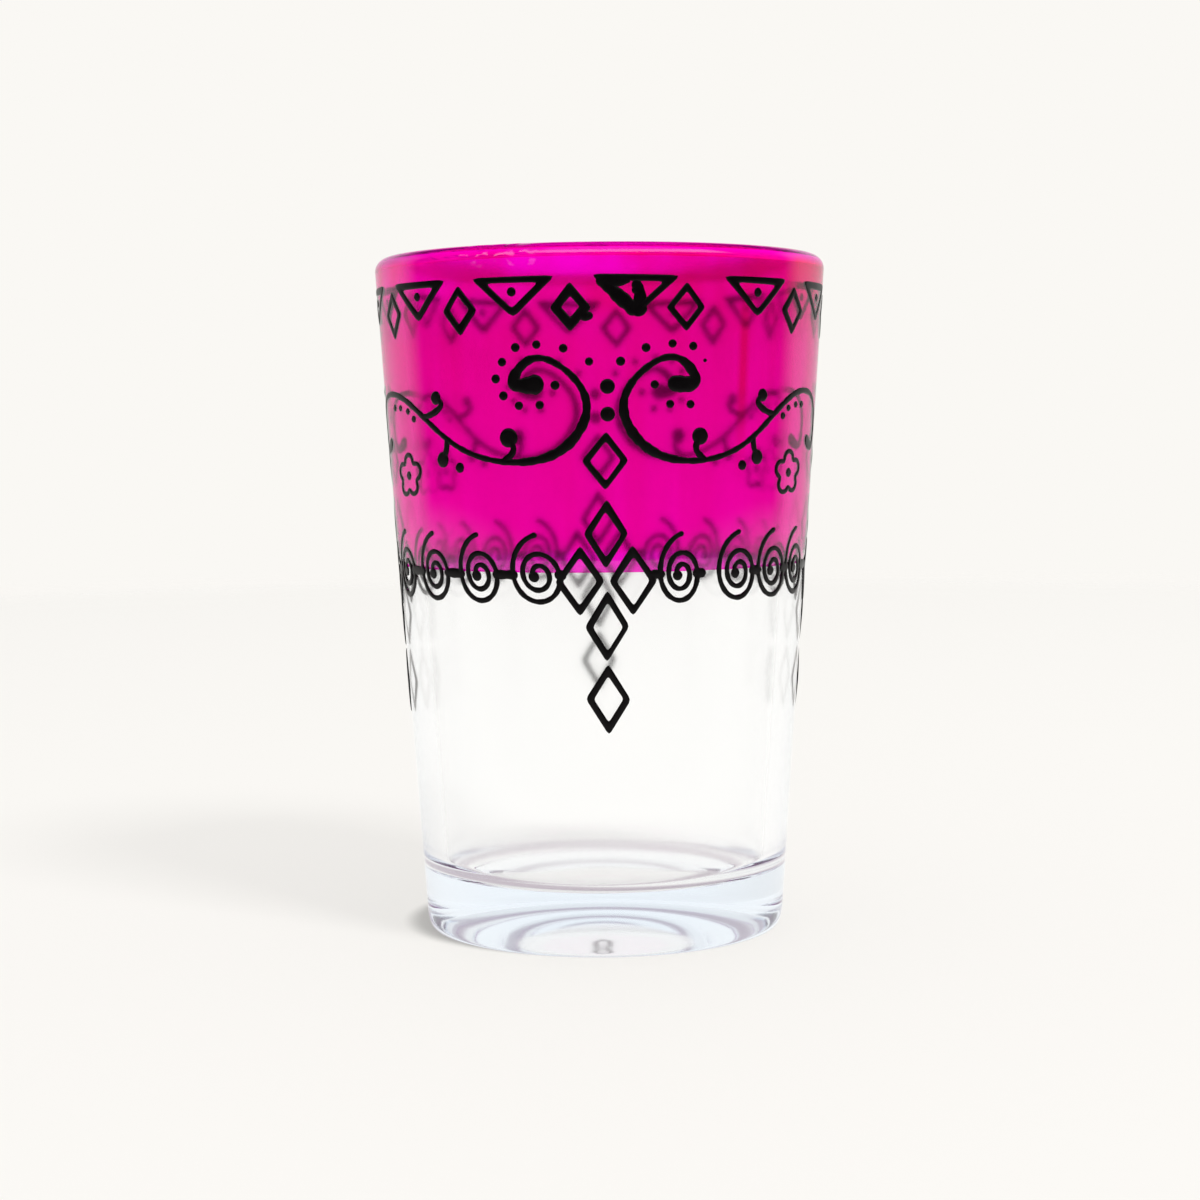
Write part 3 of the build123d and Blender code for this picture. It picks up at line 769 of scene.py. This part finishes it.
# Floor
# A table of opal acrylic that glows evenly from below, so that shadows on it stay faint. It fades out into
# the white surround on all sides, so that no horizon shows.
TABLE_COLOUR = linear("#7C7C7C")
GLOW_COLOUR = linear("#FAF8F4")
# Pink painted into the shaded ring, as light that has come through the lacquer
PAINTED_PINK_LIGHT = linear("#F1E3EA")
FLOOR_REACH = 1.2
FLOOR_MIDDLE = (0.0, 0.25, 0.0)
FADE_START = 0.4
FADE_END = 0.58
GLOW_SEEN = 0.7
GLOW_THROUGH_GLASS = 0.81
# Painted shade under the foot: the share of glow it takes away through the glass, and as the camera sees it
FOOT_SHADE = 0.32
CONTACT_SHADE = 0.5
FOOT_SHADE_MIDDLE = (-0.003, 0.002, 0.0)
# Radii where the painted shade under the foot starts, is full, is full still, and ends
SHADE_RADII = (0.0165, 0.019, 0.022, 0.0252)
floor_mesh = bpy.data.meshes.new("floor")
corners = np.array([(-1, -1, 0), (1, -1, 0), (1, 1, 0), (-1, 1, 0)]) * FLOOR_REACH
floor_mesh.from_pydata(corners.tolist(), [], [(0, 1, 2, 3)])
floor = bpy.data.objects.new("floor", floor_mesh)
bpy.context.scene.collection.objects.link(floor)
acrylic, tree, shader = new_material("opal_acrylic_table")
shader.inputs["Base Color"].default_value = TABLE_COLOUR
shader.inputs["Roughness"].default_value = 0.8
shader.inputs["Specular IOR Level"].default_value = 0.1
# Glow that the camera sees, and the stronger one that shines through the glass
path = add_node(tree, "ShaderNodeLightPath")
values = {"A": GLOW_THROUGH_GLASS, "B": GLOW_SEEN}
glow = add_node(tree, "ShaderNodeMix", values=values, links={"Factor": path.outputs["Is Camera Ray"]})
place = add_node(tree, "ShaderNodeTexCoord")
# Painted shade: the glow is lowered in a ring of the table under the foot, and a little beside it, away from
# the light
links = {0: place.outputs["Object"]}
reach = add_node(tree, "ShaderNodeVectorMath", {"operation": "DISTANCE"}, {1: FOOT_SHADE_MIDDLE}, links)
painted_shade_edges = [
    add_node(
        tree,
        "ShaderNodeMapRange",
        {"interpolation_type": "SMOOTHSTEP"},
        values={"From Min": inside, "From Max": outside, "To Min": low, "To Max": high},
        links={"Value": reach.outputs["Value"]},
    )
    for inside, outside, low, high in ((*SHADE_RADII[:2], 0.0, 1.0), (*SHADE_RADII[2:], 1.0, 0.0))
]
links = {0: painted_shade_edges[0].outputs["Result"], 1: painted_shade_edges[1].outputs["Result"]}
ring = add_node(tree, "ShaderNodeMath", {"operation": "MULTIPLY"}, links=links)
# Painted pink light: for rays other than the camera's the ring is tinted pink, as light that has come through
# the lacquer, and it shows inside the base
links = {1: path.outputs["Is Camera Ray"]}
not_seen = add_node(tree, "ShaderNodeMath", {"operation": "SUBTRACT"}, {0: 1.0}, links)
links = {0: ring.outputs["Value"], 1: not_seen.outputs["Value"]}
pink_light_share = add_node(tree, "ShaderNodeMath", {"operation": "MULTIPLY"}, links=links)
pink_light_tint = add_node(tree, "ShaderNodeMix", {"data_type": "RGBA"}, links={"Factor": pink_light_share.outputs["Value"]})
pink_light_tint.inputs[6].default_value = GLOW_COLOUR
pink_light_tint.inputs[7].default_value = PAINTED_PINK_LIGHT
tree.links.new(pink_light_tint.outputs[2], shader.inputs["Emission Color"])
values = {"A": FOOT_SHADE, "B": CONTACT_SHADE}
shade = add_node(tree, "ShaderNodeMix", values=values, links={"Factor": path.outputs["Is Camera Ray"]})
links = {0: ring.outputs["Value"], 1: shade.outputs["Result"]}
painted_shade_amount = add_node(tree, "ShaderNodeMath", {"operation": "MULTIPLY"}, links=links)
lit = add_node(tree, "ShaderNodeMath", {"operation": "SUBTRACT"}, {0: 1.0}, {1: painted_shade_amount.outputs["Value"]})
links = {0: glow.outputs["Result"], 1: lit.outputs["Value"]}
shaded = add_node(tree, "ShaderNodeMath", {"operation": "MULTIPLY"}, links=links)
tree.links.new(shaded.outputs["Value"], shader.inputs["Emission Strength"])
links = {0: place.outputs["Object"]}
middle = add_node(tree, "ShaderNodeVectorMath", {"operation": "DISTANCE"}, {1: FLOOR_MIDDLE}, links)
fade = add_node(
    tree,
    "ShaderNodeMapRange",
    {"interpolation_type": "SMOOTHSTEP"},
    values={"From Min": FADE_START, "From Max": FADE_END},
    links={"Value": middle.outputs["Value"]},
)
clear = add_node(tree, "ShaderNodeBsdfTransparent")
links = {0: fade.outputs["Result"], 1: shader.outputs["BSDF"], 2: clear.outputs["BSDF"]}
mixed = add_node(tree, "ShaderNodeMixShader", links=links)
tree.links.new(mixed.outputs["Shader"], tree.nodes["Material Output"].inputs["Surface"])
floor_mesh.materials.append(acrylic)

# Light
# A white paper sweep all round, with its own strength for plain, mirrored and refracted rays, and one far
# soft box at the front right, which lights faces only, so that the glass throws a plain soft shadow.
SURROUND = linear("#FAF8F4")
world = bpy.data.worlds.new("white_surround")
world.use_nodes = True
bpy.context.scene.world = world
tree = world.node_tree
background = tree.nodes["Background"]
place = add_node(tree, "ShaderNodeTexCoord")
split = add_node(tree, "ShaderNodeSeparateXYZ", links={"Vector": place.outputs["Generated"]})
# A gloss mirrors the sweep, which is low and lies behind, and a broad soft light above the camera
behind = add_node(
    tree,
    "ShaderNodeMapRange",
    {"interpolation_type": "SMOOTHSTEP"},
    values={"From Min": 0.25, "From Max": 0.55, "To Min": 0.02, "To Max": 0.75},
    links={"Value": split.outputs["Y"]},
)
low = add_node(
    tree,
    "ShaderNodeMapRange",
    {"interpolation_type": "SMOOTHSTEP"},
    values={"From Min": 0.35, "From Max": 0.6, "To Min": 1.0, "To Max": 0.03},
    links={"Value": split.outputs["Z"]},
)
links = {0: behind.outputs["Result"], 1: low.outputs["Result"]}
sweep = add_node(tree, "ShaderNodeMath", {"operation": "MULTIPLY"}, links=links)
# Between about 25 and 50 degrees up, on the camera's side
high = add_node(
    tree,
    "ShaderNodeMapRange",
    {"interpolation_type": "SMOOTHSTEP"},
    values={"From Min": 0.38, "From Max": 0.52, "To Min": 0.0, "To Max": 3.0},
    links={"Value": split.outputs["Z"]},
)
not_behind = add_node(
    tree,
    "ShaderNodeMapRange",
    {"interpolation_type": "SMOOTHSTEP"},
    values={"From Min": -0.4, "From Max": -0.2, "To Min": 1.0, "To Max": 0.0},
    links={"Value": split.outputs["Y"]},
)
not_above = add_node(
    tree,
    "ShaderNodeMapRange",
    {"interpolation_type": "SMOOTHSTEP"},
    values={"From Min": 0.66, "From Max": 0.8, "To Min": 1.0, "To Max": 0.1},
    links={"Value": split.outputs["Z"]},
)
links = {0: high.outputs["Result"], 1: not_above.outputs["Result"]}
bank = add_node(tree, "ShaderNodeMath", {"operation": "MULTIPLY"}, links=links)
links = {0: bank.outputs["Value"], 1: not_behind.outputs["Result"], 2: sweep.outputs["Value"]}
mirrored = add_node(tree, "ShaderNodeMath", {"operation": "MULTIPLY_ADD"}, links=links)
# Through the glass the room is bright on all sides, and brightest behind
through = add_node(
    tree,
    "ShaderNodeMapRange",
    {"interpolation_type": "SMOOTHSTEP"},
    values={"From Min": -0.35, "From Max": 0.35, "To Min": 0.8, "To Max": 1.105},
    links={"Value": split.outputs["Y"]},
)
path = add_node(tree, "ShaderNodeLightPath")
links = {"Factor": path.outputs["Is Glossy Ray"], "B": mirrored.outputs["Value"]}
plain = add_node(tree, "ShaderNodeMix", values={"A": 1.0}, links=links)
links = {"A": plain.outputs["Result"], "B": through.outputs["Result"]}
strength = add_node(tree, "ShaderNodeMix", links=links)
tree.links.new(path.outputs["Is Transmission Ray"], strength.inputs["Factor"])
background.inputs["Color"].default_value = SURROUND
tree.links.new(strength.outputs["Result"], background.inputs["Strength"])

BOX_SIZE = 0.66
BOX_POWER = 57.0
BOX_PLACE = Vector((1.28, -1.42, 1.91))
box = bpy.data.lights.new("soft_box", "AREA")
box.size = BOX_SIZE
box.energy = BOX_POWER
box.color = SURROUND[:3]
lamp = bpy.data.objects.new("soft_box", box)
lamp.location = BOX_PLACE
lamp.rotation_euler = (-BOX_PLACE).to_track_quat("-Z", "Y").to_euler()
lamp.visible_transmission = False
lamp.visible_glossy = False
bpy.context.scene.collection.objects.link(lamp)

# Camera
# At the height of the lacquer band, about 31 cm away, looking slightly down. Metres and radians.
DISTANCE = 0.31298
CAMERA_LEVEL = 0.06641
PITCH = 0.0717
ROLL = -0.0093
AZIMUTH = math.radians(-1.1)
FOCAL_LENGTH = 69.14
SHIFT = -0.00205
lens = bpy.data.cameras.new("camera")
lens.sensor_width = 36
lens.lens = FOCAL_LENGTH
lens.shift_x = SHIFT
lens.clip_start = 0.01
camera = bpy.data.objects.new("camera", lens)
round_glass = Matrix.Rotation(AZIMUTH, 3, "Z")
tilt = Euler((math.pi / 2 - PITCH, 0, 0)).to_matrix()
aim = round_glass @ tilt @ Matrix.Rotation(ROLL, 3, "Z")
camera.location = round_glass @ Vector((0, -DISTANCE, CAMERA_LEVEL))
camera.rotation_euler = aim.to_euler()
bpy.context.scene.collection.objects.link(camera)
bpy.context.scene.camera = camera
bpy.context.scene.view_settings.view_transform = "Standard"
bpy.context.scene.cycles.max_bounces = 128
bpy.context.scene.cycles.transmission_bounces = 120
bpy.context.scene.cycles.glossy_bounces = 120
bpy.context.scene.cycles.transparent_max_bounces = 32
